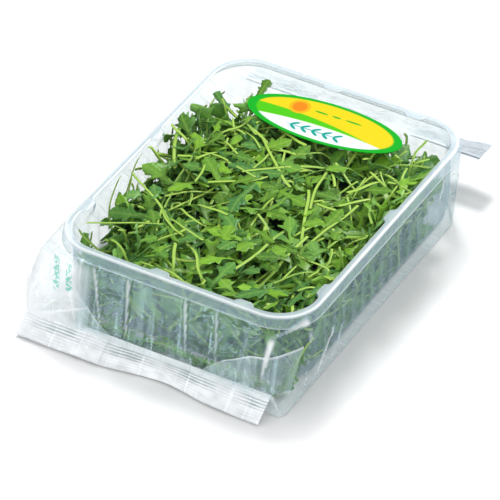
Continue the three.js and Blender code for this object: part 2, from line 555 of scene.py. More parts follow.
def film_offset(places):
    """How far the film stands off its taut hull: pleats down the walls, fans at the pinched
    corners and a crumpled front left corner, with the top nearly flat and the foot calm."""
    x, y, z = places.T
    below = smoothstep(TRAY_HEIGHT - LIP_DROP - z, -2 * MM, 12 * MM)
    offset = below * wall_pleats(places)
    for centre, axis_a, axis_b, spokes, reach, seed, height in FANS:
        offset += below * height * fan(places, centre, axis_a, axis_b, spokes, reach, seed)
    front = smoothstep(-y, TRAY_LENGTH / 2 - 4 * MM, TRAY_LENGTH / 2 + 4 * MM)
    left = smoothstep(-x, 40 * MM, 75 * MM) * front
    crumpled = ridge(0.9 * wobble(places, 34 * MM, 53)) ** 2
    offset += below * left * 0.8 * MM * crumpled
    offset += 0.03 * MM * wobble(places, 14 * MM, 61)
    return offset * (0.2 + 0.8 * smoothstep(z, 1 * MM, 8 * MM))


# Single folds: (start, end, half width, height) in millimetres
FOLDS = (
    ((88, -98, 51), (71, -116.5, 44), 3.8, 1.4),
    ((73.5, -117, 45), (71.5, -128, 19), 2.8, 1.3),
    ((74, -118, 44), (82, -128, 22), 1.6, 0.8),
    ((12, -115, 51), (20, -131, 13), 1.6, 0.8),
    ((34, -115, 51), (41, -131, 14), 1.5, 0.6),
    ((42, -120, 39), (28, -131, 14), 1.0, 0.7),
    ((-6, -117, 46), (-1, -131, 14), 1.0, 0.5),
    ((-28, -115, 51), (-22, -131, 14), 1.8, 0.8),
    ((-53, -115, 51), (-40, -131, 15), 1.6, 0.7),
    ((57, -118, 43), (55, -131, 15), 1.0, 0.5),
    ((80, -131, 14), (88, -132, 1), 1.6, 0.8),
    ((79, -129, 18), (89, -113, 2), 1.8, 0.8),
    ((89, -98, 46), (89, -108, 3), 1.6, 0.8),
    ((90, -72, 30), (89, -96, 2), 2.0, 1.0),
    ((90, -60, 24), (89, -74, 2), 1.5, 0.7),
    ((90, 70, 46), (88, 52, 4), 1.6, 0.7),
    ((88, 92, 50), (86, 66, 6), 1.8, 0.8),
    ((-84, -129, 16), (-56, -117, 42), 2.2, 1.2),
    ((-84, -129, 16), (-70, -113, 50), 2.0, 1.1),
    ((-84, -129, 16), (-84, -108, 49), 2.2, -1.1),
    ((-82, -130, 14), (-50, -126, 26), 2.0, -1.0),
    ((-90, -126, 15), (-95, -100, 36), 2.0, 1.0),
    ((-66, -122, 32), (-58, -131, 13), 1.8, 0.9),
    ((-74, -117, 42), (-62, -115, 50), 1.6, 0.9),
)


def fold(places, start, end, half_width, height):
    """A sharp-edged fold along a line, leaning over to one side and narrowing to its end."""
    start = np.array(start) * MM
    line = np.array(end) * MM - start
    length = np.linalg.norm(line)
    line = line / length
    offset = places - start
    along = offset @ line / length
    away = offset - np.outer(offset @ line, line)
    taper = 1 - 0.6 * np.clip(along, 0, 1)
    distance = np.linalg.norm(away, axis=1) / (half_width * taper * MM)
    side = np.sign(away @ np.cross(line, (0.6, -0.7, 0.3)))
    slope = np.where(side > 0, 1 - distance / 1.6, 1 - distance / 0.7)
    ends = smoothstep(along, -0.05, 0.12) * (1 - smoothstep(along, 0.8, 1.05))
    return np.clip(slope, 0, 1) * ends * height * MM


def film_haze_and_painted_light(places, creased):
    """How milky the film is: clear on top; whiter along its creases, partly creased film and partly
    painted highlight; whiter at its front left corner, crumpled film and painted light that lifts the
    shade there; and less milky on its right side, painted shade.
    """
    x, y, z = places.T
    below = 1 - smoothstep(z, 44 * MM, 53 * MM)
    front = smoothstep(-y, TRAY_LENGTH / 2 - 8 * MM, TRAY_LENGTH / 2 + 2 * MM)
    left = smoothstep(-x, 44 * MM, 70 * MM)
    back = smoothstep(y, TRAY_LENGTH / 2 - 20 * MM, TRAY_LENGTH / 2)
    right = smoothstep(x, TRAY_WIDTH / 2 - 6 * MM, TRAY_WIDTH / 2) * (1 - front)
    # Less haze on the right side is painted shade; the extra haze at the front left corner is crumpled
    # film and painted light
    wall = WALL_HAZE * (1 - 0.5 * right) + 0.5 * front * left + 0.06 * back
    hem = 0.4 * (1 - smoothstep(z, 0.5 * MM, 3.5 * MM))
    return below * (wall + hem) + CREASE_WHITE_AND_HIGHLIGHT * creased


def film_runs(mesh, places):
    """Store where each place lies across and along the pleats, for the fine streaks."""
    x, y, z = places.T
    front = smoothstep(-y, TRAY_LENGTH / 2 - 6 * MM, TRAY_LENGTH / 2 + 3 * MM)
    set_attribute(mesh, "across", front * (x + 0.12 * z) + (1 - front) * (y + SIDE_SLANT * z))
    set_attribute(mesh, "run", z)


def even_sheet(piece):
    """The taut hull on an even grid, with its edges softened."""
    remesh = piece.modifiers.new("even grid", "REMESH")
    remesh.mode = "VOXEL"
    remesh.voxel_size = FILM_VOXEL
    soften = piece.modifiers.new("soften", "SMOOTH")
    soften.factor = 0.5
    soften.iterations = 3
    return apply_modifiers(piece)


def top_sag(places):
    """How far the film sinks between the tray's rims."""
    half_width = TRAY_WIDTH / 2 - RIM_WIDTH
    half_length = TRAY_LENGTH / 2 - RIM_WIDTH
    inset, _, _ = inside_distance(places[:, 0], places[:, 1], half_width, half_length, TOP_CORNER)
    on_top = smoothstep(places[:, 2], TRAY_HEIGHT - 3 * MM, TRAY_HEIGHT - 1 * MM)
    return TOP_SAG * smoothstep(-inset, 0, 8 * MM) * on_top


def film(material):
    """One closed tube of film, pleated and folded, taut over the rim and sagging between."""
    piece = even_sheet(taut_hull())
    mesh = piece.data
    places = vertex_array(mesh)
    normals = np.empty(len(places) * 3)
    mesh.vertex_normals.foreach_get("vector", normals)
    normals = normals.reshape(-1, 3)
    offset = film_offset(places)
    creased = np.zeros(len(places))
    for line in FOLDS:
        height = fold(places, *line)
        offset += height
        creased = np.maximum(creased, np.clip(np.abs(height) / MM, 0, 1.2))
    moved = places + normals * offset[:, None]
    moved[:, 2] -= top_sag(places)
    moved[:, 2] = np.maximum(moved[:, 2], FILM_LIFT)
    set_vertices(mesh, moved)
    set_attribute(mesh, "haze", film_haze_and_painted_light(places, creased))
    film_runs(mesh, places)
    mesh.shade_smooth()
    mesh.materials.clear()
    mesh.materials.append(material)
    return piece


# Seals

RIDGES = 10
RIDGE_DEPTH = 0.8 * MM
SEAL_BITE = 3 * MM
SEAL_LIFT = 0.25 * MM
SEAL_STEP = 1.3 * MM
SEAL_ROWS = 48
SECOND_LAYER = 0.7 * MM
# Past this X is the back seal's right end, whose film is painted grey as shade
EAR_FROM = 64 * MM


def seal_point(seal, x, v):
    """Place on a seal's sheet at x, from its root, v = 0, to its free edge, v = 1."""
    root_y, root_z = seal["root"]
    edge_y, edge_z = seal["edge"]
    outward = math.copysign(1, edge_y - root_y)
    at, wide, deep = seal["bend"]
    y = root_y + (edge_y - root_y) * v - outward * SEAL_BITE * (1 - v)
    y = y + deep * v * np.exp(-(((x - at) / wide) ** 2))
    z = root_z + (edge_z - root_z) * v
    z = z + seal["lift"] * v * np.sin(x / SEAL_LENGTH * math.pi * 5) ** 2
    return np.stack([x, y, z], axis=-1)


def crimp(places, v):
    """Height of a seal's pressed ridges, and its haze, which is less in their valleys."""
    grown = smoothstep(v, 0.16, 0.26) * (1 - 0.8 * smoothstep(v, 0.5, 0.62))
    pressed = np.clip(0.9 + 0.4 * wobble(places * (1, 0.2, 0.2), 34 * MM, 75), 0.3, 1)
    wander = 0.12 * wobble(places * (1, 0, 0), 26 * MM, 77)
    lines = ridge(v * RIDGES + wander)
    height = (lines - 0.5) * RIDGE_DEPTH * grown * pressed
    return height, SEAL_HAZE - VALLEY_CLEAR * grown * pressed * (1 - lines) ** 2


def crumple(places, v):
    """Height of a seal's slow swell and its wrinkles, which start a little way off its root."""
    height = 0.3 * MM * wobble(places, 40 * MM, 71) * smoothstep(v, 0.1, 0.8)
    wrinkles = ridge(0.8 * wobble(places, 14 * MM, 81)) ** 4
    height += 0.7 * MM * wrinkles * smoothstep(v, 0.05, 0.4)
    ripple = wobble(places * (1, 0.8, 0.8), 5 * MM, 73)
    return height + 0.06 * MM * ripple * smoothstep(v, 0.1, 0.5)


def seal_sheet(seal, x_from, x_to, raised, v_from, v_to):
    """Vertices, faces and haze of one ridged layer of a seal, raised off the layer below."""
    columns = max(8, round(abs(x_to - x_from) / SEAL_STEP))
    shares = np.linspace(0, 1, columns + 1)
    depths = np.linspace(v_from, v_to, SEAL_ROWS + 1)
    u, v = np.meshgrid(shares, depths, indexing="ij")
    u = u.ravel()
    v = v.ravel()
    places = seal_point(seal, x_from + (x_to - x_from) * u, v)
    root, edge = seal_point(seal, np.zeros(2), np.array((0.0, 1.0)))
    along = (edge - root) / np.linalg.norm(edge - root)
    normal = np.array((0, -along[2], along[1])) * math.copysign(1, along[1])
    ridges, haze = crimp(places, v)
    places = places + normal * (ridges + crumple(places, v) + raised)[:, None]
    places[:, 2] = np.maximum(places[:, 2], SEAL_LIFT + raised)
    return places, grid_faces(columns, SEAL_ROWS), haze


def seal(name, shape, material):
    """A crimped seal: one sheet right across, and a second layer where the sides are folded in."""
    left = shape["left"]
    right = left + SEAL_LENGTH
    left_fold, right_fold = shape["folded"]
    layers = (
        (left, right, 0.0, 0.0, 1.0),
        (left, left + left_fold, SECOND_LAYER, 0.08, 0.97),
        (right - right_fold, right, SECOND_LAYER, 0.08, 0.97),
    )
    vertices = []
    faces = []
    haze = []
    for layer in layers:
        places, quads, milkiness = seal_sheet(shape, *layer)
        faces += [tuple(len(vertices) + i for i in quad) for quad in quads]
        vertices += list(places)
        haze += list(milkiness)
    piece = mesh_object(name, vertices, faces, material)
    places = np.array(vertices)
    set_attribute(piece.data, "haze", np.array(haze) + 0.1 * wobble(places, 9 * MM, 79))
    film_runs(piece.data, places)
    return piece


# The crease along the top of each folded-in side: (X, Z) in millimetres, from the middle out
GUSSETS = {
    "right": ((30, 13), (44, 23), (60, 31), (88, 37)),
    "left": ((-34, 13), (-50, 22), (-64, 33), (-84, 47)),
}
GUSSET_GAP = 1.3 * MM
GUSSET_FOOT = 12.5 * MM
GUSSET_COLUMNS = 40
GUSSET_ROWS = 24
GUSSET_EASING = 8


def gusset_places(side, cover):
    """Places just behind the front panel, in columns from the seal up to the crease."""
    crease = np.array(GUSSETS[side]) * MM
    cover_faces = [tuple(face.vertices) for face in cover.data.polygons]
    surface = BVHTree.FromPolygons([tuple(v) for v in vertex_array(cover.data)], cover_faces)
    order = np.argsort(crease[:, 0])
    places = np.empty((GUSSET_COLUMNS + 1, GUSSET_ROWS + 1, 3))
    for i in range(GUSSET_COLUMNS + 1):
        x = crease[0, 0] + (crease[-1, 0] - crease[0, 0]) * i / GUSSET_COLUMNS
        top = float(np.interp(x, crease[order, 0], crease[order, 1]))
        for j in range(GUSSET_ROWS + 1):
            z = GUSSET_FOOT + (top - GUSSET_FOOT) * j / GUSSET_ROWS
            hit = surface.ray_cast(Vector((x, -0.2, z)), Vector((0, 1, 0)))[0]
            y = hit.y if hit else -TRAY_LENGTH / 2
            places[i, j] = (x, y + GUSSET_GAP, z)
    for _ in range(GUSSET_EASING):
        places[1:-1, :, 1] = (places[:-2, :, 1] + 2 * places[1:-1, :, 1] + places[2:, :, 1]) / 4
    places = places.reshape(-1, 3)
    places[:, 1] += 0.5 * MM * (1 + wobble(places, 17 * MM, 201))
    return places


def gusset(side, cover, material):
    """The side film folded in behind the front panel, up to a crease from the seal to the rim."""
    places = gusset_places(side, cover)
    faces = grid_faces(GUSSET_COLUMNS, GUSSET_ROWS)
    if side == "left":
        faces = [tuple(reversed(face)) for face in faces]
    piece = mesh_object(f"front_gusset_{side}", places, faces, material)
    from_crease = GUSSET_ROWS - np.arange(len(places)) % (GUSSET_ROWS + 1)
    # White along the top crease: partly creased film, partly painted highlight
    haze = GUSSET_HAZE + CREASE_WHITE_AND_HIGHLIGHT * np.exp(-((from_crease / 0.9) ** 2))
    set_attribute(piece.data, "haze", haze)
    film_runs(piece.data, places)
    return piece


# Leaves

# A kind of leaf: length, half width between its lobes (rachis), reach of the lobes and half width
# of the end lobe in millimetres; the stalk's share of the length and the lobes' places along the
# blade; bend and twist in radians; how much it cups; and the seed of its irregularities
LEAF_KINDS = (
    {
        "length": 98, "stalk": 0.36, "rachis": 1.8, "lobes": (0.12, 0.34, 0.56, 0.77),
        "reach": 11.5, "end": 4.0, "bend": 0.8, "twist": 0.5, "cup": 0.015, "seed": 3,
    },
    {
        "length": 84, "stalk": 0.3, "rachis": 2.3, "lobes": (0.18, 0.46, 0.73),
        "reach": 10.5, "end": 4.8, "bend": -0.8, "twist": -0.6, "cup": -0.014, "seed": 5,
    },
    {
        "length": 112, "stalk": 0.42, "rachis": 1.6, "lobes": (0.08, 0.26, 0.44, 0.62, 0.79),
        "reach": 11.5, "end": 3.6, "bend": 1.0, "twist": 0.7, "cup": 0.02, "seed": 7,
    },
    {
        "length": 72, "stalk": 0.28, "rachis": 2.2, "lobes": (0.22, 0.5, 0.75),
        "reach": 9.0, "end": 4.4, "bend": 0.7, "twist": -0.4, "cup": 0.018, "seed": 9,
    },
    {
        "length": 92, "stalk": 0.38, "rachis": 1.8, "lobes": (0.13, 0.36, 0.58, 0.78),
        "reach": 10.5, "end": 3.8, "bend": -1.1, "twist": 0.7, "cup": -0.02, "seed": 11,
    },
    {
        "length": 62, "stalk": 0.3, "rachis": 2.3, "lobes": (0.34, 0.68),
        "reach": 8.5, "end": 4.8, "bend": 0.8, "twist": 0.3, "cup": 0.022, "seed": 13,
    },
    {
        "length": 88, "stalk": 0.34, "rachis": 1.9, "lobes": (0.13, 0.37, 0.6, 0.79),
        "reach": 12.5, "end": 4.2, "bend": 0.6, "twist": 0.9, "cup": 0.015, "seed": 17,
    },
)
BROAD = {
    "length": 44, "stalk": 0.15, "rachis": 4.2, "lobes": (0.34, 0.66),
    "reach": 8.5, "end": 5.5, "bend": 0.5, "twist": 0.3, "cup": 0.02, "seed": 29,
}
SPRIG = {
    "length": 27, "stalk": 0.2, "rachis": 2.9, "lobes": (),
    "reach": 0.0, "end": 2.8, "bend": 0.3, "twist": 0.2, "cup": 0.02, "seed": 37,
}
ARM = {
    "length": 62, "stalk": 0.3, "rachis": 3.0, "lobes": (0.45, 0.7),
    "reach": 6.5, "end": 4.2, "bend": 0.3, "twist": 0.2, "cup": 0.01, "seed": 23,
}
NEEDLE = {
    "length": 44, "stalk": 0.12, "rachis": 1.4, "lobes": (),
    "reach": 0.0, "end": 1.3, "bend": 0.3, "twist": 0.3, "cup": 0.05, "seed": 19, "taper": 0.7,
}
STALK_STEPS = 10
BLADE_STEPS = 44
LEAF_STEPS = STALK_STEPS + BLADE_STEPS
LEAF_ACROSS = 4
LEAF_THICK = 0.35 * MM
THIN_EDGE = 0.35
STALK_HALF = 0.95 * MM
MIDRIB = 0.75 * MM
MIDRIB_HALF = 1.1 * MM
RIB_ON_TOP = 0.45
LEAF_WAVE = 0.16
LOBE_SWEEP = 0.4
# The end lobe's middle and half length, as shares of the blade, and the blade's small teeth
END_CENTRE = 0.87
END_HALF = 0.13
TEETH = 11
TOOTH_DEPTH = 0.1
BLUNT_TIP = 0.05
ROD_LENGTH = 74 * MM
ROD_STEPS = 16
ROD_SIDES = 8


def leaf_half_width(kind, blade, side, rng):
    """Half width in metres at each share of the blade, with the lobes of one side of the leaf."""
    length = kind["length"] * (1 - kind["stalk"]) * MM
    width = kind["rachis"] * MM * smoothstep(blade, 0, 0.3) * (0.6 + 0.4 * blade)
    for place in kind["lobes"]:
        size = kind["reach"] * MM * rng.uniform(0.7, 1.05) * (1 - 0.35 * place)
        centre = place + side * rng.uniform(-0.03, 0.03)
        spread = rng.uniform(1.7, 2.5) * MM / length
        lobe = np.clip(1 - np.abs((blade - centre) / spread) ** 2.4, 0, 1) ** 0.8
        width = np.maximum(width, size * lobe * (blade > 0))
    cap = np.clip(1 - ((blade - END_CENTRE) / END_HALF) ** 2, 0, 1) ** 0.6
    teeth = 1 + TOOTH_DEPTH * np.sin(2 * math.pi * (blade * TEETH + rng.uniform(0, 1)))
    width = np.maximum(width, kind["end"] * MM * cap) * teeth
    width = width * np.clip((1 - blade) / kind.get("taper", BLUNT_TIP), 0.02, 1) ** 0.5
    return np.maximum(width, STALK_HALF * (1 - 0.8 * blade) * (blade < 0.99))


def leaf_spine(kind, along):
    """A leaf's bent middle line, and the directions right, up and forward at each place on it."""
    length = kind["length"] * MM
    heading = kind["bend"] * (along - 0.35) + 0.25 * np.sin(along * 7 + kind["seed"])
    step = length * np.diff(along)
    centre = np.zeros((len(along), 3))
    centre[1:, 0] = np.cumsum(np.cos(heading[:-1]) * step)
    centre[1:, 2] = np.cumsum(np.sin(heading[:-1]) * step)
    centre[:, 1] = 0.06 * length * np.sin(along * 3 + kind["seed"])
    centre -= centre[LEAF_STEPS // 2]
    level = np.zeros_like(heading)
    forward = np.stack([np.cos(heading), level, np.sin(heading)], axis=1)
    upward = np.stack([-np.sin(heading), level, np.cos(heading)], axis=1)
    sideways = np.array((0.0, 1.0, 0.0))
    turn = kind["twist"] * (along - 0.3)
    right = sideways * np.cos(turn)[:, None] + upward * np.sin(turn)[:, None]
    lift = -sideways * np.sin(turn)[:, None] + upward * np.cos(turn)[:, None]
    return centre, right, lift, forward


def leaf_rows(kind, along, rng):
    """(x, y, z, share along, distance out, 1 on the back) of each vertex, top layer first."""
    centre, right, lift, forward = leaf_spine(kind, along)
    blade = np.clip((along - kind["stalk"]) / (1 - kind["stalk"]), 0, 1)
    widths = {side: leaf_half_width(kind, blade, side, rng) for side in (-1, 1)}
    sweep = LOBE_SWEEP * (blade > 0) * (1 - smoothstep(blade, 0.8, 0.98))
    rows = []
    for face, rib_share, under in ((1, RIB_ON_TOP, 0.0), (-1, 1.0, 1.0)):
        for i, s in enumerate(along):
            for j in range(LEAF_ACROSS + 1):
                t = 2 * j / LEAF_ACROSS - 1
                half = widths[1 if t > 0 else -1][i]
                out = t * half
                swept = sweep[i] * abs(out)
                wave = LEAF_WAVE * half * t * t * math.sin(s * 34 + 3 * t + kind["seed"])
                rise = kind["cup"] / MM * out * out * 0.5 + wave
                rib = MIDRIB * (1 - 0.75 * s) * max(0.0, 1 - abs(out) / MIDRIB_HALF)
                thick = 0.5 * LEAF_THICK + rib * rib_share
                if abs(t) == 1:
                    thick *= THIN_EDGE
                place = centre[i] + right[i] * out + forward[i] * swept
                place += lift[i] * (rise + face * thick)
                rows.append((*place, s, abs(out), under))
    return np.array(rows)


def leaf_faces():
    """Quads of a leaf's two layers, and of the edge that closes them all round."""
    stride = LEAF_ACROSS + 1
    layer = (LEAF_STEPS + 1) * stride
    top = grid_faces(LEAF_STEPS, LEAF_ACROSS)
    faces = top + [tuple(layer + k for k in reversed(quad)) for quad in top]
    for i in range(LEAF_STEPS):
        a = i * stride
        b = a + stride
        faces.append((a, layer + a, layer + b, b))
        a += LEAF_ACROSS
        b += LEAF_ACROSS
        faces.append((b, layer + b, layer + a, a))
    for j in range(LEAF_ACROSS):
        a = j
        b = j + 1
        faces.append((b, layer + b, layer + a, a))
        a += LEAF_STEPS * stride
        b += LEAF_STEPS * stride
        faces.append((a, layer + a, layer + b, b))
    return faces


def leaf_mesh(kind, name):
    """One leaf as a thin closed solid along +X: stalk, midrib and lobed blade, bent and twisted."""
    rng = np.random.default_rng(kind["seed"])
    stalk = np.linspace(0, kind["stalk"], STALK_STEPS + 1)
    along = np.concatenate([stalk, np.linspace(kind["stalk"], 1, BLADE_STEPS + 1)[1:]])
    rows = leaf_rows(kind, along, rng)
    piece = mesh_object(name, rows[:, :3], leaf_faces())
    set_attribute(piece.data, "along", rows[:, 3])
    set_attribute(piece.data, "out", rows[:, 4] / MM)
    set_attribute(piece.data, "under", rows[:, 5])
    return piece


def stalk_mesh(name):
    """A loose stalk: a tapered, gently bent rod along +X."""
    steps = ROD_STEPS
    sides = ROD_SIDES
    rows = []
    for i in range(steps + 1):
        s = i / steps
        radius = (1.15 - 0.5 * s) * MM * min(1, 0.6 + 14 * min(s, 1 - s))
        bow = 5 * MM * (s - 0.5) ** 2 / 0.25
        middle = np.array(((s - 0.5) * ROD_LENGTH, 2 * MM * math.sin(3 * s), bow))
        for j in range(sides):
            angle = 2 * math.pi * j / sides
            outward = np.array((0, math.cos(angle), 0.8 * math.sin(angle)))
            rows.append((*(middle + outward * radius), s))
    faces = []
    for i in range(steps):
        for j in range(sides):
            k = (j + 1) % sides
            faces.append((i * sides + j, (i + 1) * sides + j, (i + 1) * sides + k, i * sides + k))
    faces.append(tuple(range(sides)))
    faces.append(tuple(steps * sides + j for j in reversed(range(sides))))
    rows = np.array(rows)
    piece = mesh_object(name, rows[:, :3], faces)
    set_attribute(piece.data, "along", rows[:, 3] * 0.3)
    set_attribute(piece.data, "out", np.zeros(len(rows)))
    set_attribute(piece.data, "under", np.zeros(len(rows)))
    return piece


# Heap

HEAP_TOP = 49 * MM
HEAP_BACK = 73 * MM
HEAP_GAP = 4 * MM
CORE_DEPTH = 11 * MM
HEAP_STEPS = 160
HEAP_LEVELS = 9
HEAP_RINGS = 12
# The crest beside the left wall: its X, its slant, and the Y at which it has that X
LEFT_CREST = (-45 * MM, -0.26, -90 * MM)
LEFT_FALL = 30 * MM
BACK_FALL = 12 * MM
# A line across the back left corner, past which the heap falls: a place on it, and its slope
CORNER_LINE = (-78 * MM, 15 * MM, 2.0)
CORNER_FALL = 26 * MM
# Leaves in the tray: room under the film, lowest height, room off the wall, and how softly each
# limit acts; then the fallen leaves' lowest height, softness, and the X that they stay inside
LEAF_HEADROOM = 1 * MM
LEAF_FLOOR = 2.2 * MM
LEAF_CLEARANCE = 0.9 * MM
WALL_EASE = 4 * MM
FALLEN_FLOOR = 0.6 * MM
FALLEN_EASE = 3 * MM
FALLEN_RIGHT = 87.5 * MM
CURL_SEED = 101
# How thickly leaves and stalks are strewn, to the square metre, how deep, and in what sizes
LEAF_STREWING = {"Density": 1420.0, "Sink": 9 * MM, "Tilt": 0.4, "Smallest": 0.9, "Largest": 1.25}
STALK_STREWING = {"Density": 280.0, "Sink": 5 * MM, "Tilt": 0.3, "Smallest": 0.8, "Largest": 1.25}
FIRST_LEAF_SEED = 11
STALK_SEED = 29


def heap_height(x, y):
    """Height of the heap's surface: it falls off before the left wall, the back and their corner."""
    crest_x, slant, from_y = LEFT_CREST
    crest = crest_x + slant * (y - from_y)
    height = HEAP_TOP - LEFT_FALL * (1 - smoothstep(x - crest, -9 * MM, 6 * MM))
    height = height - BACK_FALL * smoothstep(y, HEAP_BACK - 22 * MM, HEAP_BACK)
    corner_x, corner_y, steep = CORNER_LINE
    beyond = (y - corner_y - steep * (x - corner_x)) / math.hypot(1, steep)
    height = height - CORNER_FALL * smoothstep(beyond, -5 * MM, 9 * MM)
    places = np.stack([x, y, 0 * x], axis=-1).reshape(-1, 3)
    return height + (2.5 * MM * wobble(places, 60 * MM, 83)).reshape(np.shape(x))


def surface_height(x, y, depth):
    """Height at one place, a depth below the heap's own surface."""
    return float(heap_height(np.array(x), np.array(y))) - depth


def heap_side(depth, base):
    """Rings up the heap's side, along the tray's wall and across before its back."""
    rim, _ = round_rectangle(1, 1, 0.3, HEAP_STEPS)
    vertices = []
    for level in range(HEAP_LEVELS + 1):
        share = level / HEAP_LEVELS
        for px, py in rim:
            edge = surface_height(px * 76 * MM, -18 * MM + py * 86 * MM, depth)
            z = base + max(edge - 6 * MM - base, 2 * MM) * share
            inset = float(wall_inset(z)) + HEAP_GAP + depth
            front = -TRAY_LENGTH / 2 + inset
            back = HEAP_BACK - depth
            x = px * (TRAY_WIDTH / 2 - inset)
            vertices.append((x, (front + back) / 2 + py * (back - front) / 2, z))
    return vertices


def heap_cover(edge, depth, base):
    """Rings from the top of the heap's side in to its middle."""
    middle = (HEAP_BACK - TRAY_LENGTH / 2) / 2
    vertices = []
    for ring in range(1, HEAP_RINGS + 1):
        shrink = max(1 - ring / HEAP_RINGS, 0.02)
        for edge_x, edge_y, _ in edge:
            x = edge_x * shrink
            y = middle + (edge_y - middle) * shrink
            vertices.append((x, y, max(surface_height(x, y, depth), base + 2 * MM)))
    return vertices


def heap_surface(name, depth, material=None):
    """A closed lumpy mound in the tray, shrunk by a depth from the heap's own surface."""
    base = 4 * MM + depth * 0.3
    vertices = heap_side(depth, base)
    vertices += heap_cover(vertices[-HEAP_STEPS:], depth, base)
    faces = ring_faces(HEAP_LEVELS + HEAP_RINGS, HEAP_STEPS)
    last = len(vertices) - HEAP_STEPS
    faces.append(tuple(last + i for i in range(HEAP_STEPS)))
    faces.append(tuple(reversed(range(HEAP_STEPS))))
    return mesh_object(name, vertices, faces, material)


STREW_INPUTS = (
    ("Heap", "NodeSocketGeometry"),
    ("Leaf", "NodeSocketObject"),
    ("Density", "NodeSocketFloat"),
    ("Seed", "NodeSocketInt"),
    ("Tilt", "NodeSocketFloat"),
    ("Sink", "NodeSocketFloat"),
    ("Smallest", "NodeSocketFloat"),
    ("Largest", "NodeSocketFloat"),
    ("Material", "NodeSocketMaterial"),
)


def random_number(tree, seed, salt, low, high):
    """A random number for each leaf, from the tree's seed and a salt of its own."""
    salted = add_node(tree, "FunctionNodeIntegerMath", {0: seed, 1: salt}, operation="ADD")
    inputs = {2: low, 3: high, "Seed": salted.outputs[0]}
    return add_node(tree, "FunctionNodeRandomValue", inputs, data_type="FLOAT").outputs[1]


def leaf_turn(tree, given, normal):
    """Each leaf's turn: its back to the surface, spun round and tilted at random."""
    seed = given["Seed"]
    tilt = given["Tilt"]
    minus = multiply(tree, tilt, -1.0)
    angles = {
        "X": random_number(tree, seed, 1, minus, tilt),
        "Y": random_number(tree, seed, 2, minus, multiply(tree, tilt, 0.5)),
        "Z": random_number(tree, seed, 3, -math.pi, math.pi),
    }
    angles = add_node(tree, "ShaderNodeCombineXYZ", angles).outputs[0]
    flat = add_node(tree, "FunctionNodeAlignRotationToVector", {"Vector": normal}, axis="Z")
    spin = add_node(tree, "FunctionNodeEulerToRotation", {0: angles})
    both = {"Rotation": flat.outputs[0], "Rotate By": spin.outputs[0]}
    return add_node(tree, "FunctionNodeRotateRotation", both, rotation_space="LOCAL").outputs[0]


def strew_on(tree, given):
    """One leaf laid on each random point of the heap, turned and sized at random."""
    strewn = add_node(
        tree,
        "GeometryNodeDistributePointsOnFaces",
        {"Mesh": given["Heap"], "Density": given["Density"], "Seed": given["Seed"]},
        distribute_method="RANDOM",
    )
    normal = strewn.outputs["Normal"]
    leaf = add_node(tree, "GeometryNodeObjectInfo", {"Object": given["Leaf"]})
    inputs = {
        "Points": strewn.outputs["Points"],
        "Instance": leaf.outputs["Geometry"],
        "Rotation": leaf_turn(tree, given, normal),
        "Scale": random_number(tree, given["Seed"], 4, given["Smallest"], given["Largest"]),
    }
    return add_node(tree, "GeometryNodeInstanceOnPoints", inputs).outputs[0], normal


def scatter_tree():
    """Geometry Nodes: one leaf, strewn over the heap's faces and sunk into it at random."""
    tree = bpy.data.node_groups.new("strew leaves", "GeometryNodeTree")
    for label, kind in STREW_INPUTS:
        tree.interface.new_socket(label, in_out="INPUT", socket_type=kind)
    tree.interface.new_socket("Leaves", in_out="OUTPUT", socket_type="NodeSocketGeometry")
    given = tree.nodes.new("NodeGroupInput").outputs
    copies, normal = strew_on(tree, given)
    tone = random_number(tree, given["Seed"], 5, 0.0, 1.0)
    toned = add_node(
        tree,
        "GeometryNodeStoreNamedAttribute",
        {"Geometry": copies, "Name": "tone", "Value": tone},
        data_type="FLOAT",
        domain="INSTANCE",
    )
    deepest = multiply(tree, given["Sink"], -1.0)
    sunk = {0: normal, "Scale": random_number(tree, given["Seed"], 6, deepest, 0.0)}
    sunk = add_node(tree, "ShaderNodeVectorMath", sunk, operation="SCALE").outputs[0]
    moved = {"Instances": toned.outputs[0], "Translation": sunk, "Local Space": False}
    moved = add_node(tree, "GeometryNodeTranslateInstances", moved).outputs[0]
    real = add_node(tree, "GeometryNodeRealizeInstances", {"Geometry": moved}).outputs[0]
    done = {"Geometry": real, "Material": given["Material"]}
    done = add_node(tree, "GeometryNodeSetMaterial", done).outputs[0]
    tree.links.new(done, tree.nodes.new("NodeGroupOutput").inputs[0])
    return tree


def run_tree(piece, tree, values):
    """Apply a Geometry Nodes tree to a piece, with its inputs set by their sockets' identifiers."""
    modifier = piece.modifiers.new("nodes", "NODES")
    modifier.node_group = tree
    sockets = {
        item.name: item.identifier
        for item in tree.interface.items_tree
        if item.item_type == "SOCKET" and item.in_out == "INPUT"
    }
    for name, value in values.items():
        modifier[sockets[name]] = value
    return apply_modifiers(piece)


def eased(value, limit, soft):
    """A value that bends towards a limit over a soft stretch before it, and never passes it."""
    over = np.maximum(value - (limit - soft), 0)
    return np.where(over > 0, limit - soft + soft * (1 - np.exp(-over / soft)), value)


def confine(places):
    """Bend what would pass the tray's wall, its floor or the film back inside them, softly."""
    x, y, z = places.T.copy()
    z = eased(z, TRAY_HEIGHT - TOP_SAG - LEAF_HEADROOM, WALL_EASE)
    z = -eased(-z, -LEAF_FLOOR, WALL_EASE)
    inset = wall_inset(z) + LEAF_CLEARANCE
    corner = RIM_CORNER - inset * CORNER_SHRINK
    distance, nx, ny = inside_distance(x, y, TRAY_WIDTH / 2 - inset, TRAY_LENGTH / 2 - inset, corner)
    shift = eased(distance, 0, WALL_EASE) - distance
    return np.stack([x + nx * shift, y + ny * shift, z], axis=1)


def settle(places):
    """Keep leaves above the surface that the pack lies on, and inside the film's right side."""
    x, y, z = places.T.copy()
    z = -eased(-z, -FALLEN_FLOOR, FALLEN_EASE)
    return np.stack([np.minimum(x, FALLEN_RIGHT), y, z], axis=1)


def curl(places, seed):
    """Bend everything by broad smooth waves, so that no two copies lie alike."""
    places = places + 3 * MM * wobble_vector(places, 90 * MM, seed)
    return places + 0.4 * MM * wobble_vector(places, 26 * MM, seed + 9)


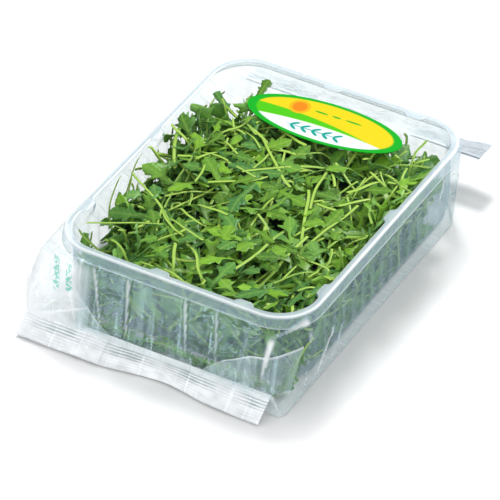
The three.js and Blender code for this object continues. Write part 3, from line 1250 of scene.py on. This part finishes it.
def strewn_leaves(name, pattern, tree, seed, strewing, material):
    """Copies of a pattern strewn over the heap as one piece, each bent its own way. The pattern
    is removed."""
    values = {"Leaf": pattern, "Seed": seed, "Material": material, **strewing}
    piece = run_tree(heap_surface(name, 0.0), tree, values)
    bpy.data.objects.remove(pattern)
    mesh = piece.data
    set_vertices(mesh, confine(curl(vertex_array(mesh), CURL_SEED)))
    mesh.shade_smooth()
    return piece


def placed_leaves(name, placements, material, hold):
    """Single leaves laid one by one: (kind, foot of the stalk, tip, roll, tone) in millimetres."""
    leaves = []
    for number, (kind, foot, tip, roll, tone) in enumerate(placements):
        leaf = leaf_mesh(kind, f"{name}_{number}")
        places = vertex_array(leaf.data)
        along = np.empty(len(places))
        leaf.data.attributes["along"].data.foreach_get("value", along)
        start = Vector(places[along == 0].mean(axis=0))
        end = Vector(places[along == 1].mean(axis=0))
        foot = Vector(foot) * MM
        tip = Vector(tip) * MM
        scale = (tip - foot).length / (end - start).length
        turn = (end - start).rotation_difference(tip - foot).to_matrix()
        turn = Matrix.Rotation(roll, 3, tip - foot) @ turn
        places = (places - np.array(start)) @ np.array(turn).T * scale + np.array(foot)
        set_vertices(leaf.data, hold(places))
        set_attribute(leaf.data, "tone", np.full(len(places), tone))
        leaves.append(leaf)
    return join(leaves, name, material)


def join(pieces, name, material):
    """One piece from several, with their attributes kept."""
    shape = bmesh.new()
    for piece in pieces:
        shape.from_mesh(piece.data)
    mesh = bpy.data.meshes.new(name)
    shape.to_mesh(mesh)
    shape.free()
    mesh.shade_smooth()
    mesh.materials.append(material)
    for piece in pieces:
        bpy.data.objects.remove(piece)
    joined = bpy.data.objects.new(name, mesh)
    bpy.context.scene.collection.objects.link(joined)
    return joined


ROCKET_A, ROCKET_B, ROCKET_C, ROCKET_D, ROCKET_E, ROCKET_F, ROCKET_G = LEAF_KINDS
# Leaves laid one by one, in millimetres: (kind, foot of the stalk, tip, roll, tone)
TOPMOST = (
    (ARM, (-49, 44, 49), (-52.5, 99, 55), 0.1, 0.1),
    (SPRIG, (-53, 58, 50), (-76, 71.5, 54), 0.1, 0.14),
    (NEEDLE, (-60, -8, 51), (-81, 44, 55), 0.1, 0.45),
    (SPRIG, (-68, 22, 50), (-75, 42, 53), 0.1, 0.5),
    (ROCKET_E, (-74, -10, 38), (-80, 30, 49), 1.3, 0.8),
    (ROCKET_E, (10, 60, 44), (46, 72, 52), 1.2, 0.3),
    (ROCKET_F, (26, 66, 46), (55, 76, 53), 2.2, 0.2),
    (ROCKET_F, (56, 58, 44), (76, 70, 51), 0.3, 0.5),
    (ROCKET_F, (-58, -70, 44), (-81, -64, 37), 0.6, 0.2),
    (ROCKET_D, (-40, 38, 44), (-28, 80, 48), 0.5, 0.3),
    (ROCKET_E, (2, 45, 44), (-18, 92, 50), 1.9, 0.6),
    (ROCKET_A, (60, 20, 48), (66, 84, 45), 0.2, 0.4),
    (ROCKET_G, (-40, -76, 47), (-4, -100, 49), 0.2, 0.7),
    (ROCKET_C, (-14, -20, 50), (30, -84, 52), 0.4, 0.55),
    (ROCKET_G, (10, 0, 50), (62, -20, 52), -0.3, 0.45),
    (ROCKET_A, (-20, -8, 48), (-60, -52, 47), 0.3, 0.75),
)
BY_THE_CORNER = (
    (BROAD, (86, -90, 32), (82, -117, 9), 0.3, 0.15),
    (BROAD, (84, -104, 8), (75, -122, 5), 0.2, 0.7),
    (BROAD, (64, -115, 5), (84, -118, 13), 0.4, 0.3),
    (ROCKET_B, (86, -78, 14), (80, -118, 14), 1.9, 0.2),
)
FALLEN_COUNT = 34
FALLEN_REACH = 66


def fallen_leaves():
    """The leaves in the film's front fold: a few by the corner, and a row before the tray's foot."""
    rng = np.random.default_rng(31)
    rows = list(BY_THE_CORNER)
    for middle in np.linspace(-FALLEN_REACH, FALLEN_REACH, FALLEN_COUNT):
        reach = rng.uniform(14, 20)
        foot = (middle - reach, rng.uniform(-117, -112), rng.uniform(2.5, 6))
        tip = (middle + reach, rng.uniform(-122, -115), rng.uniform(4, 11))
        if rng.random() < 0.5:
            foot = (middle + reach, *foot[1:])
            tip = (middle - reach, *tip[1:])
        kind = LEAF_KINDS[rng.integers(len(LEAF_KINDS))]
        rows.append((kind, foot, tip, rng.uniform(-0.5, 0.9), rng.uniform(0.0, 0.6)))
    return rows


# Materials

WHITE_FILM = (0.93, 0.96, 0.98, 1)
# Grey film for the back seal's right end: painted shade
SHADED_FILM = (0.50, 0.54, 0.58, 1)
FILM_VEIL = (0.60, 0.84, 0.92, 1)
TRAY_CLEAR = (0.40, 0.60, 0.69, 1)
TRAY_MILKY = (0.86, 0.90, 0.93, 1)
BLADE_DARK = (0.022, 0.10, 0.003, 1)
BLADE_LIGHT = (0.20, 0.45, 0.016, 1)
BLADE_BLUE = (0.038, 0.18, 0.04, 1)
BLADE_BACK = (0.12, 0.31, 0.06, 1)
RIB_GREEN = (0.36, 0.55, 0.08, 1)
# The core's near-black greens are painted shade deep in the heap
CORE_DARK = (0.004, 0.012, 0.003, 1)
CORE_LIGHT = (0.02, 0.06, 0.012, 1)

# Side veins: the pattern's run in millimetres over a whole leaf, its slant and its pitch
VEIN_RUN = 88.0
VEIN_SLANT = -0.55
VEIN_PITCH = 4.2

# The film's print: columns of dashes as (left, low, high), with their width, in millimetres
PRINT_COLUMNS = ((-69, 29, 47), (-60, 31, 46))
PRINT_WIDTH = 4.4
PRINT_LEAN = 0.28
PRINT_COVER = 0.6
PRINT_TEAL = (0.16, 0.66, 0.55, 1)

LABEL_CENTRE = Vector((2.6, 72.8, 0)) * MM
LABEL_TURN = math.radians(2)
LABEL_HALF_LENGTH = 54 * MM
LABEL_HALF_WIDTH = 20.5 * MM
LABEL_BOW = 0.3
LABEL_YELLOW = (0.66, 0.53, 0.0, 1)
LABEL_GREEN = (0.0, 0.36, 0.01, 1)
LABEL_LIGHT_GREEN = (0.06, 0.48, 0.0, 1)
LABEL_WHITE = (0.70, 0.76, 0.78, 1)
LABEL_AMBER = (0.80, 0.36, 0.0, 1)
LABEL_ORANGE = (0.75, 0.20, 0.0, 1)
LABEL_TEAL = (0.0, 0.30, 0.24, 1)


def within(tree, value, low, high):
    """1 where a value lies between two bounds, 0 elsewhere."""
    inputs = {0: value, 1: (low + high) / 2, 2: (high - low) / 2}
    return add_node(tree, "ShaderNodeMath", inputs, operation="COMPARE").outputs[0]


def film_print(tree, coordinates):
    """Two columns of plain teal dashes printed on the film near its front left corner."""
    parts = add_node(tree, "ShaderNodeSeparateXYZ", {0: coordinates}).outputs
    across = math_node(tree, "ADD", parts["X"], multiply(tree, parts["Z"], PRINT_LEAN))
    columns = 0.0
    for left, low, high in PRINT_COLUMNS:
        wide = within(tree, across, left * MM, (left + PRINT_WIDTH) * MM)
        tall = within(tree, parts["Z"], low * MM, high * MM)
        columns = math_node(tree, "ADD", columns, multiply(tree, wide, tall))
    front = math_node(tree, "LESS_THAN", parts["Y"], -100 * MM)
    dashes = math_node(tree, "GREATER_THAN", noise_value(tree, coordinates, 700.0, 1.0), 0.47)
    return multiply(tree, multiply(tree, columns, front), dashes)


def film_cloud(tree, haze):
    """How white the film is: its haze in broad streaks, and fine streaks down the walls, partly creased
    film and partly painted highlights of the pleats.
    """
    along = multiply(tree, attribute(tree, "run"), 0.07)
    drawn = {"X": attribute(tree, "across"), "Y": along}
    drawn = add_node(tree, "ShaderNodeCombineXYZ", drawn).outputs[0]
    broad = map_range(tree, noise_value(tree, drawn, 90.0), 0.3, 0.7, 0.3, 1.9)
    steady = map_range(tree, haze, 0.2, 0.5)
    broad = add_node(tree, "ShaderNodeMix", {0: steady, 2: broad, 3: 1.0}, data_type="FLOAT")
    # Fine streaks: partly creased film, partly painted highlights of small pleats
    fine = map_range(tree, noise_value(tree, drawn, 330.0), 0.58, 0.7, 0.0, 0.24)
    streaks = multiply(tree, fine, map_range(tree, haze, 0.01, 0.05))
    return math_node(tree, "ADD", multiply(tree, haze, broad.outputs[0]), streaks)


def film_material(name, white):
    """Clear film: mirror-like where it is clear, dull white where it is crimped, and white along its
    creases, partly creased film and partly painted highlight.
    """
    material, tree, output = new_material(name)
    coordinates = object_coordinates(tree)
    height = noise_value(tree, coordinates, 300.0, 3.0)
    normal = bump_normal(tree, height, 0.08 * MM, 0.3)
    haze = attribute(tree, "haze")
    gloss = map_range(tree, haze, 0.005, 0.02, 0.2, 0.9)
    gloss = multiply(tree, edge_gloss(tree, normal), gloss)
    share = math_node(tree, "ADD", film_cloud(tree, haze), gloss, clamp=True)
    printed = film_print(tree, coordinates)
    share = math_node(tree, "MAXIMUM", share, multiply(tree, printed, PRINT_COVER))
    veil = mix_colours(tree, map_range(tree, haze, 0.1, 0.5), FILM_VEIL, white)
    principled(
        tree,
        output,
        {
            "Base Color": mix_colours(tree, printed, veil, PRINT_TEAL),
            "Metallic": map_range(tree, haze, 0.0, 0.1, 1.0, 0.0),
            "Roughness": map_range(tree, haze, 0.05, 0.4, 0.08, 0.3),
            "Normal": normal,
            "Alpha": share,
        },
    )
    return material


def tray_material():
    """Clear plastic that is milky where it is drawn thick, on the rim and the skirt; its whitest lines,
    along the rim's crest and edges, the skirt's lower edge and the ribs' crests, are painted
    highlights.
    """
    material, tree, output = new_material("milky plastic")
    coordinates = object_coordinates(tree)
    milkiness = attribute(tree, "milk")
    colour = mix_colours(tree, map_range(tree, milkiness, 0.14, 0.5), TRAY_CLEAR, TRAY_MILKY)
    cloud = map_range(tree, noise_value(tree, coordinates, 38.0, 3.0), 0.2, 0.8, 0.8, 1.2)
    milk = multiply(tree, milkiness, cloud)
    sheen = multiply(tree, edge_gloss(tree), 0.6)
    height = noise_value(tree, coordinates, 260.0)
    principled(
        tree,
        output,
        {
            "Base Color": colour,
            "Roughness": 0.22,
            "Specular IOR Level": 0.8,
            "Normal": bump_normal(tree, height, 0.2 * MM, 0.3),
            "Alpha": math_node(tree, "ADD", milk, sheen, clamp=True),
        },
    )
    return material


def blade_colour(tree, coordinates):
    """Green from dark to light by the leaf's tone and a mottle, some leaves bluer, paler behind."""
    tone = attribute(tree, "tone")
    mottle = multiply(tree, noise_value(tree, coordinates, 240.0, 3.0), 0.35)
    mixed = math_node(tree, "ADD", multiply(tree, tone, 0.75), mottle)
    lightness = math_node(tree, "SUBTRACT", mixed, 0.05, clamp=True)
    blade = mix_colours(tree, lightness, BLADE_DARK, BLADE_LIGHT)
    chance = math_node(tree, "FRACT", multiply(tree, tone, 13.7))
    blade = mix_colours(tree, map_range(tree, chance, 0.45, 0.8, 0.0, 0.7), blade, BLADE_BLUE)
    return mix_colours(tree, multiply(tree, attribute(tree, "under"), 0.8), blade, BLADE_BACK)


def side_veins(tree):
    """Pale stripes that run out from the midrib and forward, a few millimetres apart."""
    ahead = multiply(tree, attribute(tree, "along"), VEIN_RUN)
    back = multiply(tree, attribute(tree, "out"), VEIN_SLANT)
    stripe = math_node(tree, "PINGPONG", math_node(tree, "ADD", ahead, back), VEIN_PITCH / 2)
    return map_range(tree, stripe, 0.0, 0.35, 0.3, 0.0, smooth=True)


def leaf_material():
    """Rocket leaf: mottled green blade, bluer back, pale midrib and stalk, tone by the leaf."""
    material, tree, output = new_material("rocket leaf")
    coordinates = object_coordinates(tree)
    blade = mix_colours(tree, side_veins(tree), blade_colour(tree, coordinates), RIB_GREEN)
    near_rib = map_range(tree, attribute(tree, "out"), 0.35, 1.0, 1.0, 0.0, smooth=True)
    stalk = map_range(tree, attribute(tree, "along"), 0.7, 0.3, 0.2, 1.0)
    veins = noise_value(tree, coordinates, 900.0)
    principled(
        tree,
        output,
        {
            "Base Color": mix_colours(tree, multiply(tree, near_rib, stalk), blade, RIB_GREEN),
            "Roughness": 0.42,
            "Specular IOR Level": 0.45,
            "Normal": bump_normal(tree, veins, 0.25 * MM, 0.5),
            "Sheen Weight": 0.05,
        },
    )
    return material


def core_material():
    """Painted shade between the leaves under the heap's surface: a near-black mound."""
    material, tree, output = new_material("shaded leaves")
    cloud = noise_value(tree, object_coordinates(tree), 120.0, 4.0)
    colour = mix_colours(tree, cloud, CORE_DARK, CORE_LIGHT)
    normal = bump_normal(tree, cloud, 3 * MM, 0.8)
    principled(tree, output, {"Base Color": colour, "Roughness": 0.7, "Normal": normal})
    return material


def label_axes(tree):
    """Places on the label from -1 to 1, along it and across it."""
    inputs = {
        "Vector": object_coordinates(tree),
        "Location": tuple(LABEL_CENTRE),
        "Rotation": (0, 0, LABEL_TURN),
        "Scale": (LABEL_HALF_LENGTH, LABEL_HALF_WIDTH, 1),
    }
    mapped = add_node(tree, "ShaderNodeMapping", inputs, vector_type="TEXTURE").outputs[0]
    parts = add_node(tree, "ShaderNodeSeparateXYZ", {0: mapped}).outputs
    return parts["X"], parts["Y"]


def above_bow(tree, u, v, offset):
    """Height above a line that crosses the label at an offset and bows up in the middle."""
    arc = multiply(tree, multiply(tree, u, u), LABEL_BOW)
    return math_node(tree, "SUBTRACT", math_node(tree, "ADD", v, arc), offset)


def below(tree, height):
    """1 below a line and 0 above it, with a soft edge."""
    return map_range(tree, height, -0.03, 0.03, 1.0, 0.0, smooth=True)


def oval(tree, u, v, middle, angle, half_length, half_width):
    """1 inside an oval on the label and 0 outside it, in halves of the label's length."""
    du = math_node(tree, "SUBTRACT", u, middle[0])
    dv = math_node(tree, "SUBTRACT", v, middle[1])
    dv = multiply(tree, dv, LABEL_HALF_WIDTH / LABEL_HALF_LENGTH)
    c = math.cos(angle)
    s = math.sin(angle)
    p = math_node(tree, "ADD", multiply(tree, du, c), multiply(tree, dv, s))
    q = math_node(tree, "ADD", multiply(tree, du, -s), multiply(tree, dv, c))
    p = math_node(tree, "DIVIDE", p, half_length)
    q = math_node(tree, "DIVIDE", q, half_width)
    total = math_node(tree, "ADD", multiply(tree, p, p), multiply(tree, q, q))
    return map_range(tree, total, 0.85, 1.1, 1.0, 0.0)


def label_motifs():
    """(middle, angle, half length, half width, colour) of the sun, the dashes and the sprig."""
    motifs = [
        ((-0.4, 0.4), 0, 0.13, 0.13, LABEL_AMBER),
        ((-0.4, 0.4), 0, 0.09, 0.09, LABEL_ORANGE),
    ]
    for place, half in ((-0.12, 0.09), (0.08, 0.06), (0.3, 0.11)):
        motifs.append(((place, 0.42), -0.02, half, 0.014, LABEL_GREEN))
    for step in range(5):
        for side in (-1, 1):
            middle = (-0.3 + 0.14 * step, -0.52 + side * 0.1)
            motifs.append((middle, side * 0.6, 0.06, 0.02, LABEL_TEAL))
    motifs.append(((-0.06, -0.52), 0, 0.36, 0.008, LABEL_TEAL))
    return motifs


def label_material():
    """A printed oval: green border, yellow ground, a white band and a plain sprig of leaves."""
    material, tree, output = new_material("printed label")
    u, v = label_axes(tree)
    on_white = below(tree, above_bow(tree, u, v, -0.2))
    colour = mix_colours(tree, on_white, LABEL_YELLOW, LABEL_WHITE)
    slope = math_node(tree, "ADD", above_bow(tree, u, v, 0.02), multiply(tree, u, 0.35))
    band = multiply(tree, below(tree, slope), math_node(tree, "SUBTRACT", 1.0, on_white))
    colour = mix_colours(tree, band, colour, LABEL_LIGHT_GREEN)
    for *shape, ink in label_motifs():
        colour = mix_colours(tree, oval(tree, u, v, *shape), colour, ink)
    square = math_node(tree, "ADD", multiply(tree, u, u), multiply(tree, v, v))
    border = map_range(tree, math_node(tree, "SQRT", square), 0.87, 0.9)
    fine = noise_value(tree, object_coordinates(tree), 600.0)
    principled(
        tree,
        output,
        {
            "Base Color": mix_colours(tree, border, colour, LABEL_GREEN),
            "Roughness": 0.45,
            "Specular IOR Level": 0.25,
            "Normal": bump_normal(tree, fine, 0.05 * MM, 0.3),
        },
    )
    return material


def floor_material():
    """A white floor that throws back less light than it shows, so the sides stay in shade."""
    material, tree, output = new_material("white sweep")
    cloud = noise_value(tree, object_coordinates(tree), 3.0)
    seen = mix_colours(tree, cloud, (0.745, 0.745, 0.745, 1), (0.765, 0.765, 0.765, 1))
    paths = tree.nodes.new("ShaderNodeLightPath")
    colour = mix_colours(tree, paths.outputs["Is Camera Ray"], (0.5, 0.5, 0.5, 1), seen)
    principled(tree, output, {"Base Color": colour, "Roughness": 0.9, "Specular IOR Level": 0.1})
    return material


# Stage

FLOOR_HALF = 3.0
ORIGIN = (0, 0, 0)
FRONT_AIM = (0, -0.1, 0.02)
SIDE_AIM = (0, 0, 0.02)

# Lights: (name, place, what it aims at, width, length, power)
KEY = ("key", (0.4, 1.06, 1.14), ORIGIN, 0.4, 0.4, 20)
FLOOR_LIGHT = ("floor light", (-0.5, 0.9, 1.26), ORIGIN, 0.36, 0.36, 27)
SOFT_LIGHTS = (
    ("fill", (0.95, -0.75, 0.95), ORIGIN, 0.3, 0.3, 4),
    ("low front strip", (-0.75, -1.4, 0.12), FRONT_AIM, 1.0, 0.14, 1.9),
    ("middle front strip", (-0.75, -1.4, 0.36), FRONT_AIM, 1.0, 0.14, 1.9),
    ("high front strip", (-0.75, -1.4, 0.7), FRONT_AIM, 1.0, 0.14, 1.9),
    ("left strip", (-1.2, -0.3, 0.7), SIDE_AIM, 0.05, 1.2, 1.5),
    ("right strip", (0.9, 0.5, 1.3), SIDE_AIM, 0.06, 1.0, 0.4),
)


def add_camera():
    data = bpy.data.cameras.new("camera")
    data.lens = CAMERA_LENS
    data.clip_end = 20
    camera = bpy.data.objects.new("camera", data)
    bpy.context.scene.collection.objects.link(camera)
    back = Vector(
        (
            math.sin(CAMERA_AZIMUTH) * math.cos(CAMERA_ELEVATION),
            -math.cos(CAMERA_AZIMUTH) * math.cos(CAMERA_ELEVATION),
            math.sin(CAMERA_ELEVATION),
        )
    )
    camera.location = CAMERA_TARGET + back * CAMERA_DISTANCE
    camera.rotation_euler = back.to_track_quat("Z", "Y").to_euler()
    bpy.context.scene.camera = camera


def add_light(name, place, aim, width, length, power):
    data = bpy.data.lights.new(name, "AREA")
    data.shape = "RECTANGLE"
    data.size = width
    data.size_y = length
    data.energy = power
    light = bpy.data.objects.new(name, data)
    light.location = place
    light.rotation_euler = (Vector(place) - Vector(aim)).to_track_quat("Z", "Y").to_euler()
    bpy.context.scene.collection.objects.link(light)
    return light


def aim_at_floor(light, floor, state):
    """Let a light reach the floor alone, or all but the floor."""
    reached = bpy.data.collections.new(light.name)
    reached.objects.link(floor)
    light.light_linking.receiver_collection = reached
    for item in reached.collection_objects:
        item.light_linking.link_state = state


def add_world():
    """Soft white all round for what it lights, and dimmer where the film mirrors it."""
    world = bpy.data.worlds.new("studio")
    world.use_nodes = True
    tree = world.node_tree
    tree.nodes.clear()
    paths = tree.nodes.new("ShaderNodeLightPath")
    direction = tree.nodes.new("ShaderNodeTexCoord").outputs["Generated"]
    height = add_node(tree, "ShaderNodeSeparateXYZ", {0: direction}).outputs["Z"]
    sky = map_range(tree, height, 0.0, 0.6, 0.28, 0.86)
    strength = map_range(tree, paths.outputs["Is Glossy Ray"], 0.0, 1.0, sky, 0.12)
    shine = add_node(tree, "ShaderNodeBackground", {"Color": (0.97, 0.985, 1, 1), "Strength": strength})
    output = tree.nodes.new("ShaderNodeOutputWorld")
    tree.links.new(shine.outputs[0], output.inputs["Surface"])
    bpy.context.scene.world = world


def add_floor():
    half = FLOOR_HALF
    corners = [(-half, -half, 0), (half, -half, 0), (half, half, 0), (-half, half, 0)]
    floor = mesh_object("floor", corners, [(0, 1, 2, 3)], floor_material())
    return floor


def add_stage():
    floor = add_floor()
    add_world()
    aim_at_floor(add_light(*KEY), floor, "EXCLUDE")
    aim_at_floor(add_light(*FLOOR_LIGHT), floor, "INCLUDE")
    for light in SOFT_LIGHTS:
        add_light(*light)
    view = bpy.context.scene.view_settings
    view.view_transform = "Standard"
    view.look = "None"
    bpy.context.scene.cycles.transparent_max_bounces = 24


# Pack


def dress(piece, node=None):
    """Let a piece ride on the pack, and hide the node it replaces."""
    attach(piece, "root")
    if node:
        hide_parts(node)
    return piece


def add_leaves():
    tree = scatter_tree()
    green = leaf_material()
    dress(heap_surface("leaf_core", CORE_DEPTH, core_material()))
    for number, kind in enumerate(LEAF_KINDS):
        leaf = leaf_mesh(kind, f"leaf_pattern_{number}")
        name = f"rocket_leaves_{number + 1}"
        seed = FIRST_LEAF_SEED + number
        dress(strewn_leaves(name, leaf, tree, seed, LEAF_STREWING, green))
    dress(placed_leaves("topmost_leaves", TOPMOST, green, confine))
    dress(placed_leaves("fallen_leaves", fallen_leaves(), green, settle))
    stalk = stalk_mesh("stalk_pattern")
    dress(strewn_leaves("loose_stalks", stalk, tree, STALK_SEED, STALK_STREWING, green))


def add_seals(clear):
    shaded = film_material("back seal film", SHADED_FILM)
    dress(seal("front_seal", FRONT_SEAL, clear))
    back_seal = dress(seal("back_seal", BACK_SEAL, clear))
    # The back seal's right end takes the grey film: painted shade
    back_seal.data.materials.append(shaded)
    for face in back_seal.data.polygons:
        face.material_index = int(face.center.x > EAR_FROM)


def add_pack():
    clear = film_material("clear film", WHITE_FILM)
    cover = dress(film(clear), "bag")
    for side in GUSSETS:
        dress(gusset(side, cover, clear))
    add_seals(clear)
    dress(tray(tray_material()))
    add_leaves()
    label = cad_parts["label"]
    label.data.materials.clear()
    label.data.materials.append(label_material())


add_camera()
add_stage()
add_pack()
